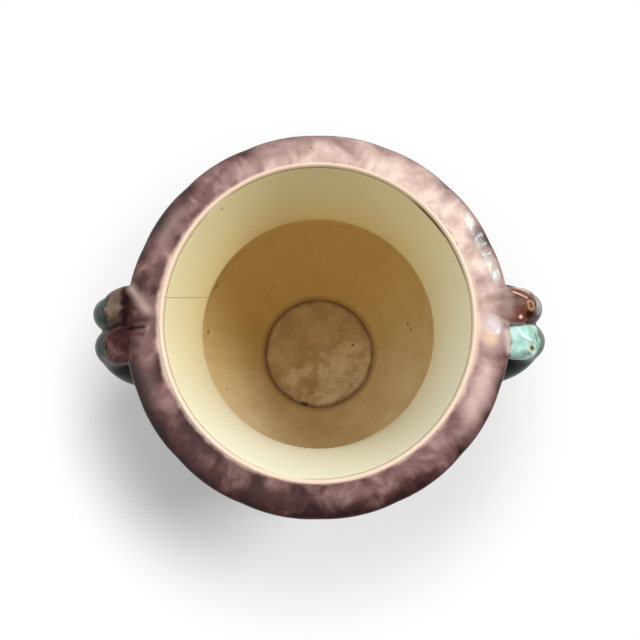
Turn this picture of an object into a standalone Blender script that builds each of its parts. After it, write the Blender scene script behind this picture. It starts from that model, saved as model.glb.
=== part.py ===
# Two-handled ceramic vase, made of the clay pieces it is put together from.
# Metres, +Z up. The origin is the middle of the footprint, on the bench.
# The handles lie along X, and the front is -Y.
import bmesh
import bpy
from math import acos, atan2, cos, hypot, pi, radians, sin, sqrt
from mathutils import Vector

# Driving dimensions of the vessel
HEIGHT = 0.280              # bench to the mouth edge
LIP_RADIUS = 0.1112         # widest place of the rolled lip
LIP_BREADTH = 0.0219        # inner edge of the mouth out to the lip's widest place
MOUTH_EDGE = 0.0026         # thickness of the pale edge round the mouth
MOUTH_FLARE = 0.0083        # how much the cream collar opens from the waist up to the mouth
COLLAR_HEIGHT = 0.058       # body rim to mouth edge
SPIGOT_DEPTH = 0.010        # how far the collar reaches down inside the body
SPIGOT_WALL = 0.0042
NECK_WALL = 0.0035          # body wall round the spigot
LIP_EDGE_DROP = 0.0045      # mouth edge down to the lip's widest place
LIP_DEPTH = 0.0135          # mouth edge down to the ledge that carries the lip
LIP_SEAT = 0.0052           # width of that ledge
LIP_BORE_DROP = 0.0008      # mouth edge down to the lip's inner corner
LIP_CREST = 0.35            # share of the lip's width, from its bore, where the top is highest
LIP_SOLE = 0.55             # share of the lip's width, from its bore, that lies flat underneath
BELLY_RADIUS = 0.107
BELLY_HEIGHT = 0.135
WALL = 0.0055
HEEL_THICKENING = 0.002     # extra wall where the body stands on the foot
FOOT_RADIUS = 0.072
FOOT_HEIGHT = 0.012
FOOT_FLARE = 0.0030         # how much narrower the foot's top is
FOOT_EDGE = 0.0024          # height of the foot's bevelled lower edge
FLOOR_RADIUS = 0.060        # floor that shows inside
FLOOR_THICKNESS = 0.0057
FLOOR_LEDGE = 0.0060        # width of the ring's ledge under the floor disc
FLOOR_SEAT = 0.0037         # how far the floor disc reaches under the body
HEEL_RECESS = 0.004         # height of the body's upright inner face just above the floor

# Soft flutes round the outside
FLUTES = 16
LIP_FLUTE = 0.0006
BODY_FLUTE = 0.0016
MOUTH_OVAL = 0.012          # the mouth is this share longer front to back than a circle, and narrower across

# Handles: two stems side by side at the lip, parting on their way down to the shoulder
HANDLE_OVERHANG = 0.0263    # lip's widest place to the outside of a handle's bend
HANDLE_FORWARD = 0.0044     # both handles sit this far in front of the vase axis
STEM_RADIUS = 0.0112        # at the bend
STEM_FOOT_RADIUS = 0.0086   # at the shoulder
STEM_SPREAD = 0.0086        # handle centre plane to a stem's axis at the lip
STEM_PART = 0.0310          # handle centre plane to a stem's axis at the shoulder
FRONT_STEM_DROP = 0.0040    # the front stem leaves the lip this much lower than the back one
STEM_CROWN_DROP = 0.0170    # lip's widest place down to a stem's axis at the crown
STEM_BEND_DROP = 0.0270     # lip's widest place down to where a stem turns back towards the body
STEM_BEND_OUT = 0.0015      # how far a stem's axis still moves out below its bend
STEM_BEND_PART = 0.0048     # how far a stem has moved sideways there
ROOT_DROP = 0.050           # body rim down to the middle of a root pad
ROOT_LENGTH = 0.040
ROOT_WIDTH = 0.029
ROOT_HEIGHT = 0.0080
BEAD_RADIUS = 0.0022
BACK_BEAD_PLACE = 0.0190    # start of a stem's axis to its bead, on the back stem
FRONT_BEAD_PLACE = 0.0198   # the same on the front stem
TENDRIL_RADIUS = 0.0011
TENDRIL_CURL = 0.0041       # bead centre to the tendril's axis
TENDRIL_RUN = 0.0105        # straight part of a tendril, along the stem
TENDRIL_SWEEP = radians(235)

# Clearance between pieces that are luted together
LUTE_GAP = 0.0003

# Facets
STEPS_PER_FLUTE = 4
BODY_RINGS = 12
BEAD_STEPS = 10
BEAD_RINGS = 6
ROOT_STEPS = 16
ROOT_RINGS = 10
COLLAR_RINGS = 3
FUNNEL_RINGS = 5
STEM_ROUND_STEPS = 6
TENDRIL_ROUND_STEPS = 2
TENDRIL_RUN_STEPS = 4
TENDRIL_CURL_STEPS = 9
WELD = 0.00001

# Values worked out from the driving dimensions
TURN_STEPS = FLUTES * STEPS_PER_FLUTE
RIM_Z = HEIGHT - COLLAR_HEIGHT
MOUTH_RADIUS = LIP_RADIUS - LIP_BREADTH
WAIST_RADIUS = MOUTH_RADIUS - MOUTH_FLARE
SPIGOT_RADIUS = WAIST_RADIUS + SPIGOT_WALL
SOCKET_RADIUS = SPIGOT_RADIUS + LUTE_GAP
NECK_RADIUS = SOCKET_RADIUS + NECK_WALL
COLLAR_TOP_RADIUS = MOUTH_RADIUS + MOUTH_EDGE
LIP_BORE = COLLAR_TOP_RADIUS + LUTE_GAP
LEDGE_Z = HEIGHT - LIP_DEPTH
LEDGE_RADIUS = COLLAR_TOP_RADIUS + LIP_SEAT
LIP_EDGE_Z = HEIGHT - LIP_EDGE_DROP
BODY_BASE_Z = FOOT_HEIGHT + LUTE_GAP
HEEL_RADIUS = FLOOR_RADIUS + WALL + HEEL_THICKENING
DISC_RADIUS = FLOOR_RADIUS + FLOOR_SEAT

COLOURS = {
    "mauve": (0.22, 0.13, 0.13),
    "cream": (0.72, 0.66, 0.42),
    "brown": (0.24, 0.15, 0.06),
    "sage": (0.10, 0.14, 0.11),
    "turquoise": (0.30, 0.52, 0.44),
    "rust": (0.16, 0.05, 0.03),
    "clay": (0.42, 0.33, 0.22),
}


def clear_scene():
    for old in list(bpy.data.objects):
        bpy.data.objects.remove(old, do_unlink=True)


def new_collection(name):
    made = bpy.data.collections.new(name)
    bpy.context.scene.collection.children.link(made)
    return made


def glaze(name, roughness=0.18):
    material = bpy.data.materials.get(name)
    if material is None:
        material = bpy.data.materials.new(name)
        material.use_nodes = True
        shader = material.node_tree.nodes["Principled BSDF"]
        shader.inputs["Base Color"].default_value = (*COLOURS[name], 1.0)
        shader.inputs["Roughness"].default_value = roughness
        shader.inputs["Metallic"].default_value = 0.0
    return material


def as_piece(name, mesh, colour, roughness=0.18):
    piece = bpy.data.objects.new(name, mesh)
    mesh.name = name
    mesh.materials.clear()
    mesh.materials.append(glaze(colour, roughness))
    mesh.shade_smooth()
    mesh.set_sharp_from_angle(angle=radians(40))
    PIECES.objects.link(piece)
    return piece


def as_cutter(name, mesh):
    cutter = bpy.data.objects.new(name, mesh)
    cutter.hide_render = True
    cutter.display_type = 'WIRE'
    CUTTERS.objects.link(cutter)
    return cutter


def baked_mesh(source):
    bpy.context.view_layer.update()
    evaluated = source.evaluated_get(bpy.context.evaluated_depsgraph_get())
    mesh = bpy.data.meshes.new_from_object(evaluated)
    mesh.transform(source.matrix_world)
    bpy.data.objects.remove(source, do_unlink=True)
    shape = bmesh.new()
    shape.from_mesh(mesh)
    bmesh.ops.remove_doubles(shape, verts=shape.verts, dist=WELD)
    shape.to_mesh(mesh)
    shape.free()
    return mesh


def cut(piece, cutters):
    for cutter in cutters:
        boolean = piece.modifiers.new(cutter.name, 'BOOLEAN')
        boolean.operation = 'DIFFERENCE'
        boolean.object = cutter


# Turned shapes
def turned_mesh(profile, closed=True):
    outline = bpy.data.meshes.new("profile")
    count = len(profile)
    edges = [(i, (i + 1) % count) for i in range(count if closed else count - 1)]
    outline.from_pydata([(r, 0.0, z) for r, z in profile], edges, [])
    lathe = bpy.data.objects.new("profile", outline)
    CUTTERS.objects.link(lathe)
    screw = lathe.modifiers.new("turn", 'SCREW')
    screw.steps = TURN_STEPS
    screw.render_steps = TURN_STEPS
    screw.use_merge_vertices = True
    screw.merge_threshold = WELD
    return baked_mesh(lathe)


def arc(centre_r, centre_z, radius_r, radius_z, start, end, count):
    points = []
    for i in range(count + 1):
        angle = radians(start + (end - start) * i / count)
        points.append((centre_r + radius_r * cos(angle), centre_z + radius_z * sin(angle)))
    return points


# Outside of the body: an ovoid below its widest place, an S-curve up to the upright neck above it
def body_radius(z):
    if z < BELLY_HEIGHT:
        fall = (BELLY_HEIGHT - z) / (BELLY_HEIGHT - BODY_BASE_Z)
        return BELLY_RADIUS - (BELLY_RADIUS - HEEL_RADIUS) * fall ** 2
    rise = min((z - BELLY_HEIGHT) / (RIM_Z - BELLY_HEIGHT), 1.0)
    return NECK_RADIUS + (BELLY_RADIUS - NECK_RADIUS) * 0.5 * (1.0 + cos(pi * rise))


def body_slope(z):
    step = 0.1 * WALL
    return (body_radius(z + step) - body_radius(z - step)) / (2.0 * step)


def body_outline(rings):
    heights = [RIM_Z + (BODY_BASE_Z - RIM_Z) * i / rings for i in range(rings + 1)]
    return [(body_radius(z), z) for z in heights]


# Outside of the collar between the body's rim and the ledge that carries the lip
def collar_outline(rings):
    points = []
    for i in range(rings + 1):
        rise = 1.0 - i / rings
        z = RIM_Z + LUTE_GAP + (LEDGE_Z - RIM_Z - LUTE_GAP) * rise
        points.append((NECK_RADIUS + (LEDGE_RADIUS - NECK_RADIUS) * rise ** 2, z))
    return points


# Inside of the collar, a funnel that opens towards the mouth
def funnel_radius(z):
    base = RIM_Z - SPIGOT_DEPTH
    rise = (z - base) / (HEIGHT - base)
    return WAIST_RADIUS + (MOUTH_RADIUS - WAIST_RADIUS) * rise ** 1.6


# The rolled lip, from its bore over the top and round the edge to its seat
def lip_outline():
    reach = LIP_RADIUS - LIP_BORE
    crest_r = LIP_BORE + LIP_CREST * reach
    sole_r = LIP_BORE + LIP_SOLE * reach
    top = arc(crest_r, LIP_EDGE_Z, LIP_RADIUS - crest_r, LIP_EDGE_DROP - LUTE_GAP, 90, 0, 5)
    under = arc(sole_r, LIP_EDGE_Z, LIP_RADIUS - sole_r, LIP_EDGE_Z - LEDGE_Z - LUTE_GAP, -18, -90, 4)
    return [(LIP_BORE, HEIGHT - LIP_BORE_DROP)] + top + under


def hand_shaped(mesh, outer_gap=0.0):
    # The outside of body and lip draws in along each flute, and above the body's rim the rings grow oval
    crest_r = LIP_BORE + LIP_CREST * (LIP_RADIUS - LIP_BORE)
    for vertex in mesh.vertices:
        radius = hypot(vertex.co.x, vertex.co.y)
        z = vertex.co.z
        if radius < WELD:
            continue
        depth = 0.0
        if z > LEDGE_Z - LUTE_GAP:
            share = (radius - outer_gap - crest_r) / (LIP_RADIUS - crest_r)
            depth = LIP_FLUTE * min(max(share, 0.0), 1.0)
        elif z < RIM_Z and radius - outer_gap > body_radius(z) - 0.1 * WALL:
            swell = sin(pi * (z - BODY_BASE_Z) / (RIM_Z - BODY_BASE_Z))
            depth = BODY_FLUTE * max(swell, 0.0) ** 0.8
        angle = atan2(vertex.co.y, vertex.co.x)
        oval = MOUTH_OVAL * max(z - RIM_Z, 0.0) / (HEIGHT - RIM_Z)
        scale = (radius - depth * 0.5 * (1.0 + cos(FLUTES * angle))) / radius
        scale *= 1.0 - oval * cos(2.0 * angle)
        vertex.co.x *= scale
        vertex.co.y *= scale
    return mesh


def make_foot_ring():
    outside = FOOT_RADIUS - FOOT_FLARE
    inside = DISC_RADIUS + LUTE_GAP
    ledge = FOOT_HEIGHT - FLOOR_THICKNESS - LUTE_GAP
    bore = inside - FLOOR_LEDGE
    profile = [
        (outside, FOOT_HEIGHT),
        (outside + 0.3 * FOOT_FLARE, FOOT_HEIGHT * 0.55),
        (FOOT_RADIUS, FOOT_EDGE),
        (FOOT_RADIUS - FOOT_EDGE / 2.0, 0.0),
        (bore, 0.0),
        (bore, ledge),
        (inside, ledge),
        (inside, FOOT_HEIGHT),
    ]
    as_piece("foot_ring", turned_mesh(profile), "clay", 0.55)


def make_floor_disc():
    bpy.ops.mesh.primitive_cylinder_add(
        vertices=TURN_STEPS, radius=DISC_RADIUS, depth=FLOOR_THICKNESS,
        location=(0.0, 0.0, FOOT_HEIGHT - FLOOR_THICKNESS / 2.0))
    as_piece("floor_disc", baked_mesh(bpy.context.object), "clay", 0.35)


def make_body():
    outside = body_outline(BODY_RINGS)
    foot = BODY_BASE_Z + HEEL_RECESS
    socket = RIM_Z - SPIGOT_DEPTH - LUTE_GAP
    inside = [(FLOOR_RADIUS, BODY_BASE_Z), (FLOOR_RADIUS, foot)]
    rings = BODY_RINGS - 3
    for i in range(1, rings + 1):
        z = foot + (socket - foot) * i / rings
        inside.append((body_radius(z) - WALL, z))
    inside += [(SOCKET_RADIUS, socket), (SOCKET_RADIUS, RIM_Z)]
    as_piece("body", hand_shaped(turned_mesh(outside + inside)), "sage")


def make_collar():
    base = RIM_Z - SPIGOT_DEPTH
    edge = MOUTH_EDGE / 2.0
    crown = arc(MOUTH_RADIUS + edge, HEIGHT - edge, edge, edge, 180, 0, 4)
    outside = [(COLLAR_TOP_RADIUS, LEDGE_Z)] + collar_outline(COLLAR_RINGS)
    spigot = [(SPIGOT_RADIUS, RIM_Z + LUTE_GAP), (SPIGOT_RADIUS, base), (WAIST_RADIUS, base)]
    inside = []
    for i in range(1, FUNNEL_RINGS):
        z = base + (HEIGHT - edge - base) * i / FUNNEL_RINGS
        inside.append((funnel_radius(z), z))
    as_piece("collar", hand_shaped(turned_mesh(crown + outside + spigot + inside)), "cream")


def make_lip():
    profile = lip_outline() + [(LIP_BORE, LEDGE_Z + LUTE_GAP)]
    as_piece("lip", hand_shaped(turned_mesh(profile)), "mauve")


def vessel_core():
    # Everything inside the vessel's outer surface, grown by the lute gap
    lip = [(r + LUTE_GAP, z) for r, z in lip_outline()[1:]]
    collar = [(r + LUTE_GAP, z) for r, z in collar_outline(COLLAR_RINGS)]
    body = [(r + LUTE_GAP, z) for r, z in body_outline(BODY_RINGS)]
    profile = [(0.0, HEIGHT)] + lip + collar[1:-1] + body + [(0.0, BODY_BASE_Z)]
    return as_cutter("vessel_core", hand_shaped(turned_mesh(profile, closed=False), LUTE_GAP))


# Handles. A stem is described once, for the right side, and mirrored by the sign of side.
def root_place():
    z = RIM_Z - ROOT_DROP
    radius = body_radius(z)
    return sqrt(radius ** 2 - STEM_PART ** 2), STEM_PART, z


# A stem's axis where it arches out of the lip: share of the way from the lip's widest place to the crown,
# share of the drop at the crown, share of the stem radius, and share of the front stem's own drop
STEM_ARCH = (
    (-0.60, 0.32, 0.60, 1.0),
    (-0.07, 0.42, 0.84, 1.0),
    (0.47, 0.58, 0.98, 0.5),
    (0.99, 1.00, 1.00, 0.0),
)
STEM_BEND_SHARE = 0.93      # share of the stem radius at the bend


def stem_route(drop):
    # Axis points (x, y from the handle plane, z) and radius, from inside the lip down into the shoulder
    overhang = HANDLE_OVERHANG - STEM_RADIUS
    foot_x, foot_y, foot_z = root_place()
    bend_x = LIP_RADIUS + overhang + STEM_BEND_OUT
    bend_y = STEM_SPREAD + STEM_BEND_PART
    bend_z = LIP_EDGE_Z - STEM_BEND_DROP
    bend_radius = STEM_BEND_SHARE * STEM_RADIUS
    route = []
    for share, down, thickness, own_drop in STEM_ARCH:
        y = STEM_SPREAD + 0.25 * STEM_BEND_PART * max(share, 0.0) ** 3
        z = LIP_EDGE_Z - down * STEM_CROWN_DROP - own_drop * drop
        route.append((LIP_RADIUS + share * overhang, y, z, thickness * STEM_RADIUS))
    for fall in (0.0, 0.12, 0.35, 0.57, 0.78, 1.0):
        x = foot_x + (bend_x - foot_x) * (1.0 - fall ** 1.35)
        y = bend_y + (foot_y - bend_y) * sin(0.5 * pi * fall ** 0.75)
        z = bend_z + (foot_z - bend_z) * fall
        route.append((x, y, z, bend_radius + (STEM_FOOT_RADIUS - bend_radius) * fall ** 0.7))
    return [Vector(point) for point in route]


def smooth_route(route, parts_each):
    # A curve through every point of the route
    padded = [2 * route[0] - route[1]] + route + [2 * route[-1] - route[-2]]
    points = []
    for i in range(1, len(padded) - 2):
        a, b, c, d = padded[i - 1:i + 3]
        for k in range(parts_each):
            t = k / parts_each
            points.append(0.5 * (2 * b + (c - a) * t + (2 * a - 5 * b + 4 * c - d) * t ** 2
                                 + (3 * b - a - 3 * c + d) * t ** 3))
    points.append(route[-1])
    return points


def placed(point, side, bank):
    return Vector((side * point[0], bank * point[1] - HANDLE_FORWARD, point[2]))


def tube_mesh(points, radii, roundness):
    curve = bpy.data.curves.new("tube", 'CURVE')
    curve.dimensions = '3D'
    curve.bevel_depth = 1.0
    curve.bevel_resolution = roundness
    curve.use_fill_caps = True
    spline = curve.splines.new('POLY')
    spline.points.add(len(points) - 1)
    for knot, point, radius in zip(spline.points, points, radii):
        knot.co = (*point, 1.0)
        knot.radius = radius
    tube = bpy.data.objects.new("tube", curve)
    CUTTERS.objects.link(tube)
    return baked_mesh(tube)


def stem_mesh(side, bank, drop, grown=0.0):
    axis = smooth_route(stem_route(drop), 2)
    points = [placed(point, side, bank) for point in axis]
    return tube_mesh(points, [point[3] + grown for point in axis], STEM_ROUND_STEPS)


def root_mesh(side, bank, grown=0.0):
    # An oval pad of clay, lying along the shoulder's slope
    x, y, z = root_place()
    radius = body_radius(z)
    outward = Vector((side * x / radius, bank * y / radius, -body_slope(z))).normalized()
    around = Vector((-bank * y / radius, side * x / radius, 0.0))
    along = around.cross(outward)
    shape = bmesh.new()
    bmesh.ops.create_uvsphere(shape, u_segments=ROOT_STEPS, v_segments=ROOT_RINGS, radius=1.0)
    centre = placed(root_place(), side, bank)
    along *= ROOT_LENGTH / 2.0 + grown
    around *= ROOT_WIDTH / 2.0 + grown
    outward *= ROOT_HEIGHT + grown
    for vertex in shape.verts:
        local = vertex.co
        vertex.co = centre + along * local.x + around * local.y + outward * local.z
    mesh = bpy.data.meshes.new("root")
    shape.to_mesh(mesh)
    shape.free()
    return mesh


def far_bank(side, bank):
    # Everything on the other stem's side of the handle's centre plane
    size = HEIGHT
    middle = -bank * (size - LUTE_GAP) / 2.0 - HANDLE_FORWARD
    bpy.ops.mesh.primitive_cube_add(size=size, location=(side * LIP_RADIUS, middle, RIM_Z))
    return as_cutter("far_bank", baked_mesh(bpy.context.object))


class StemSkin:
    # Places on a stem's surface, by distance along its axis and angle round it
    def __init__(self, side, bank, drop):
        axis = smooth_route(stem_route(drop), 8)
        self.points = [placed(point, side, bank) for point in axis]
        self.radii = [point[3] for point in axis]
        self.bank = bank
        self.lengths = [0.0]
        for a, b in zip(self.points, self.points[1:]):
            self.lengths.append(self.lengths[-1] + (b - a).length)

    def place(self, length, lean, height):
        # lean 0 is the stem's upper and outer side, positive towards the stem's own side of the handle
        index = 0
        while index < len(self.lengths) - 2 and self.lengths[index + 1] < length:
            index += 1
        span = self.lengths[index + 1] - self.lengths[index]
        share = (length - self.lengths[index]) / span
        centre = self.points[index].lerp(self.points[index + 1], share)
        radius = self.radii[index] * (1.0 - share) + self.radii[index + 1] * share
        first = max(index - 3, 0)
        last = min(index + 4, len(self.points) - 1)
        along = (self.points[last] - self.points[first]).normalized()
        across = Vector((0.0, self.bank, 0.0))
        across = (across - along * across.dot(along)).normalized()
        out = along.cross(across)
        if out.z < 0.0:
            out = -out
        return centre + (out * cos(lean) + across * sin(lean)) * (radius + height)


# On each stem: distance of the bead along the axis, its lean, and the lean where the tendril starts
SPRIGS = {
    "back": (BACK_BEAD_PLACE, radians(18), radians(56)),
    "front": (FRONT_BEAD_PLACE, radians(30), radians(-26)),
}


def make_bead(name, skin, sprig, stem_cutter):
    length, lean, _ = sprig
    centre = skin.place(length, lean, 0.0)
    bpy.ops.mesh.primitive_uv_sphere_add(
        segments=BEAD_STEPS, ring_count=BEAD_RINGS, radius=BEAD_RADIUS, location=centre)
    bead = as_piece(name, baked_mesh(bpy.context.object), "sage")
    cut(bead, [stem_cutter])


def tendril_route(sprig):
    # On the stem's skin laid flat: a straight run that meets the curl round the bead as a tangent
    length, lean, first_lean = sprig
    across = STEM_RADIUS * (first_lean - lean)
    distance = hypot(TENDRIL_RUN, across)
    towards_start = atan2(across, -TENDRIL_RUN)
    turn = -1.0 if across > 0.0 else 1.0
    meet = towards_start + turn * acos(TENDRIL_CURL / distance)
    run_start = Vector((-TENDRIL_RUN, across))
    run_end = Vector((cos(meet), sin(meet))) * TENDRIL_CURL
    flat = [run_start.lerp(run_end, i / TENDRIL_RUN_STEPS) for i in range(TENDRIL_RUN_STEPS)]
    for i in range(TENDRIL_CURL_STEPS + 1):
        angle = meet + turn * TENDRIL_SWEEP * i / TENDRIL_CURL_STEPS
        flat.append(Vector((cos(angle), sin(angle))) * TENDRIL_CURL)
    return [(length + place.x, lean + place.y / STEM_RADIUS) for place in flat]


def make_tendril(name, skin, sprig, cutters):
    # A thin ridge that runs out along the stem and curls round the bead
    sunk = 0.35 * TENDRIL_RADIUS
    points = [skin.place(length, lean, sunk) for length, lean in tendril_route(sprig)]
    radii = [TENDRIL_RADIUS * (0.55 + 0.45 * min(i / 3.0, 1.0)) for i in range(len(points))]
    radii[-1] *= 0.6
    tendril = as_piece(name, tube_mesh(points, radii, TENDRIL_ROUND_STEPS), "turquoise")
    cut(tendril, cutters)


def make_stem(side_name, side, bank_name, bank, core):
    label = side_name + "_" + bank_name
    drop = FRONT_STEM_DROP if bank_name == "front" else 0.0
    root = as_piece(label + "_root", root_mesh(side, bank), "brown")
    cut(root, [core])
    stem = as_piece(label + "_stem", stem_mesh(side, bank, drop), "rust" if bank_name == "back" else "sage")
    root_cutter = as_cutter(label + "_root_cutter", root_mesh(side, bank, LUTE_GAP))
    cut(stem, [core, root_cutter, far_bank(side, bank)])
    stem_cutter = as_cutter(label + "_stem_cutter", stem_mesh(side, bank, drop, LUTE_GAP))
    skin = StemSkin(side, bank, drop)
    make_bead(label + "_bead", skin, SPRIGS[bank_name], stem_cutter)
    make_tendril(label + "_tendril", skin, SPRIGS[bank_name], [stem_cutter, core])


clear_scene()
PIECES = new_collection("ceramic_vase")
CUTTERS = new_collection("cutters")

make_foot_ring()
make_floor_disc()
make_body()
make_collar()
make_lip()
VESSEL_CORE = vessel_core()
for side_name, side in (("right", 1.0), ("left", -1.0)):
    for bank_name, bank in (("back", 1.0), ("front", -1.0)):
        make_stem(side_name, side, bank_name, bank, VESSEL_CORE)
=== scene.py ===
from math import atan2, cos, hypot, pi, radians, sin

import bmesh
import bpy
import numpy as np
from mathutils import Matrix, Vector


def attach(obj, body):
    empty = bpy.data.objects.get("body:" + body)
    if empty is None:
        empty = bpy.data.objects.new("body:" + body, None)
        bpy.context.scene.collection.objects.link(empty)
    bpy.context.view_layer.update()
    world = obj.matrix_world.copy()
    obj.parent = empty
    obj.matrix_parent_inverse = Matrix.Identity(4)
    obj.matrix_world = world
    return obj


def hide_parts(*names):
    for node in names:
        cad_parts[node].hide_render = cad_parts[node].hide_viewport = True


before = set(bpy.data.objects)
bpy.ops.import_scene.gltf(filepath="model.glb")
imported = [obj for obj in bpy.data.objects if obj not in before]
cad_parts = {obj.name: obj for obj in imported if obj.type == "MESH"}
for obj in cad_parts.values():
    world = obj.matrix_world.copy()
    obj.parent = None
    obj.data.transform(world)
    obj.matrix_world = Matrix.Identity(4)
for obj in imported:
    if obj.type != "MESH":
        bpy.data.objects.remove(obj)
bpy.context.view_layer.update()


def metres(table):
    # A table written in millimetres, turned into metres
    if isinstance(table, dict):
        return {key: metres(rows) for key, rows in table.items()}
    if isinstance(table, tuple):
        return tuple(metres(row) for row in table)
    return table / 1000


# Sizes of the vessel, as in the solids
HEIGHT = 0.28
RIM_Z = 0.222
LIP_RADIUS = 0.1112
LIP_EDGE_Z = 0.2755
LEDGE_Z = 0.2665
LEDGE_RADIUS = 0.0971
MOUTH_RADIUS = 0.0893
MOUTH_EDGE = 0.0026
WAIST_RADIUS = 0.081
WAIST_Z = 0.212
NECK_RADIUS = 0.089
BELLY_RADIUS = 0.107
BELLY_Z = 0.135
HEEL_RADIUS = 0.0675
BODY_BASE_Z = 0.0123
WALL = 0.0055
FLOOR_RADIUS = 0.06
FLOOR_Z = 0.012
FLOOR_UNDERSIDE = 0.0063
MOUTH_OVAL = 0.012
HANDLE_FORWARD = 0.0044
# Two points nearer than this stand on the same ring
SAME_RING = 0.00002

# Soft flutes: how much of a flute's depth each step beside a valley has
FLUTES = 16
TURN_STEPS = 128
FLUTE_SHARES = (1.0, 0.56, 0.24, 0.07)
LIP_FLUTE = 0.0004
BODY_FLUTE = 0.0018
# Where the lip's edge is pinched down, in steps of the turn, and how deep in mm
PINCHES = ((6, 0.22), (8, 0.55), (16, 0.35), (24, 0.1), (40, 0.6), (48, 0.65), (56, 0.4), (72, 0.4),
           (80, 0.65), (88, 0.5), (96, 0.15), (104, 0.45), (112, 0.7), (120, 0.45))
# How dark the glaze is in each valley of the edge, from the right round by the back
VALLEY_DARK = (0.15, 0.65, 0.45, 0.1, 0.12, 0.85, 1.0, 0.55, 0.45, 0.5, 0.95, 0.75, 0.2, 0.6, 1.0, 0.6)

# Outlines in mm: radius and height, or heights where a function below gives the radius
LIP_INSIDE = metres(((92, 267), (91.5, 273), (90.9, 278.4), (90.9, 279), (92, 279.35), (94.5, 279.55)))
COLLAR_SEAM_HEIGHTS = metres((222.2, 224.6))
COLLAR_HEIGHTS = metres((225.2, 228, 232, 240, 248, 256, 262, 266.2))
FUNNEL_HEIGHTS = metres((276, 271.5, 266, 260, 253, 246, 238, 230, 222, 216))
BODY_HEIGHTS = metres((12.3, 13.5, 18, 24, 32, 42, 52, 62, 72, 82, 92, 102, 112, 122, 132, 142, 152, 162, 172,
                       182, 192, 201, 209, 216))
SKIRT_HEIGHTS = metres((221, 223.5, 224.7))
BELLY_HEIGHTS = metres((211, 204, 196, 186, 174, 162, 150, 137, 124, 111, 98, 85, 72, 60, 49, 39, 30, 23, 18))
FOOT_OUTLINE = metres((
    (69, 12), (69.4, 10), (70, 7), (71.2, 4.5), (71.9, 2.4), (71.7, 1.1), (70.8, 0.2), (69.6, 0), (66, 0),
    (61, 0), (59.2, 0.3), (58.3, 1.2), (58, 3), (58, 5.8), (58.5, 6.1), (63.6, 6.1), (64, 6.6), (64, 11.6),
    (64.4, 12)))
# The floor's rings from its rim inwards: width and rise
FLOOR_RINGS = metres((
    (0.6, 0), (2.6, 0), (1.6, -0.2), (3.5, -0.3), (8, -0.2), (12, -0.1), (12, 0), (12, 0), (8, 0)))

# Handles: stems of pulled clay, luted to lip and shoulder. x is measured outwards from the axis,
# y towards the back, and each row ends with the strand's thickness. All in mm.
ARCH = metres(((126.1, 9.8, 258.5, 11.2), (127.8, 13.4, 248.5, 10.4), (125.9, 18.9, 239.3, 10),
               (119.9, 24.9, 221.7, 9.5), (112.5, 28.5, 204.9, 9.3), (104.5, 30.4, 188.8, 9.6),
               (100, 30.8, 180, 10.8), (95.2, 31, 172, 13)))
# How far each stem's bend stands further in than the arch
ARCH_INSET = metres({"right_back": 0.3, "right_front": 0.3, "left_back": 0.3, "left_front": 2.4})
# The arch takes up this inset over its first rows
INSET_ROWS = 5
# The tops: x, y, height of the crest, thickness. The first strand of each bank is the stem itself.
CRESTS = metres({
    "right_back": (
        ((95, 4, 279, 6), (101, 4.2, 279.6, 7.5), (107.5, 4.2, 279.5, 9), (113.5, 4.2, 278.8, 10.2),
         (119, 4.3, 277.2, 11.1)),
        ((100, 9.2, 278.8, 4.8), (106, 10.4, 279.1, 5.4), (112, 10.6, 278.6, 6), (118.5, 10.2, 276.6, 6.6),
         (125, 9.6, 272.2, 6.4)),
        ((95.5, 3.6, 278.9, 4), (101, 1.4, 279.2, 5), (107, 0.4, 278.9, 5.6), (113, -0.8, 278, 5.8),
         (118.5, -0.8, 276.4, 6))),
    "right_front": (
        ((102, -13, 276.5, 5.5), (107.5, -13, 277.2, 8), (113.5, -13, 277.4, 9.8), (119, -13.1, 276.2, 11)),
        ((105, -19.2, 275.7, 5), (112.5, -19.8, 276.2, 6.2), (119, -19.7, 274.8, 6.8), (125, -19, 270, 6.2))),
    "left_back": (
        ((107.5, 4.4, 275.2, 7), (113, 4.2, 277.1, 9.2), (118.7, 4.3, 277.2, 11)),
        ((99, 12.5, 278.6, 4.5), (105.5, 14.4, 279.1, 5.5), (111.5, 14.2, 278.7, 6), (118, 12, 276.6, 6.6),
         (123.6, 9.6, 271.5, 6.2)),
        ((108, 17, 277.6, 4), (105, 12.2, 279, 6), (101.6, 7.4, 279.4, 6.6), (97.8, 2.6, 279.3, 5.6),
         (95.5, -0.2, 278.8, 4)),
        ((107.2, 13, 278.4, 4.6), (106.4, 6.6, 278.7, 5), (105, 0.4, 278.5, 5), (104, -5, 277.8, 4.4))),
    "left_front": (
        ((101, -13, 278.7, 6), (106.2, -13.2, 278.9, 8.2), (111.8, -13.2, 278, 9.6),
         (116.8, -13.1, 276.4, 10.6)),
        ((103, -19.6, 278.8, 5.2), (110, -20, 277.8, 6.2), (117, -20, 275.2, 6.6), (122.5, -19, 270.2, 6)),
        ((105, -8, 278.2, 3.6), (110.5, -7, 277.9, 4.4), (115, -8, 276.6, 4.8), (120, -10, 274.2, 4.8))),
})
ROOT_PLACE = (0.0952, 0.031, 0.172)
ROOT_SIZE = (0.0052, 0.015, 0.0205)
ROOT_SLOPE = -0.316

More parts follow.
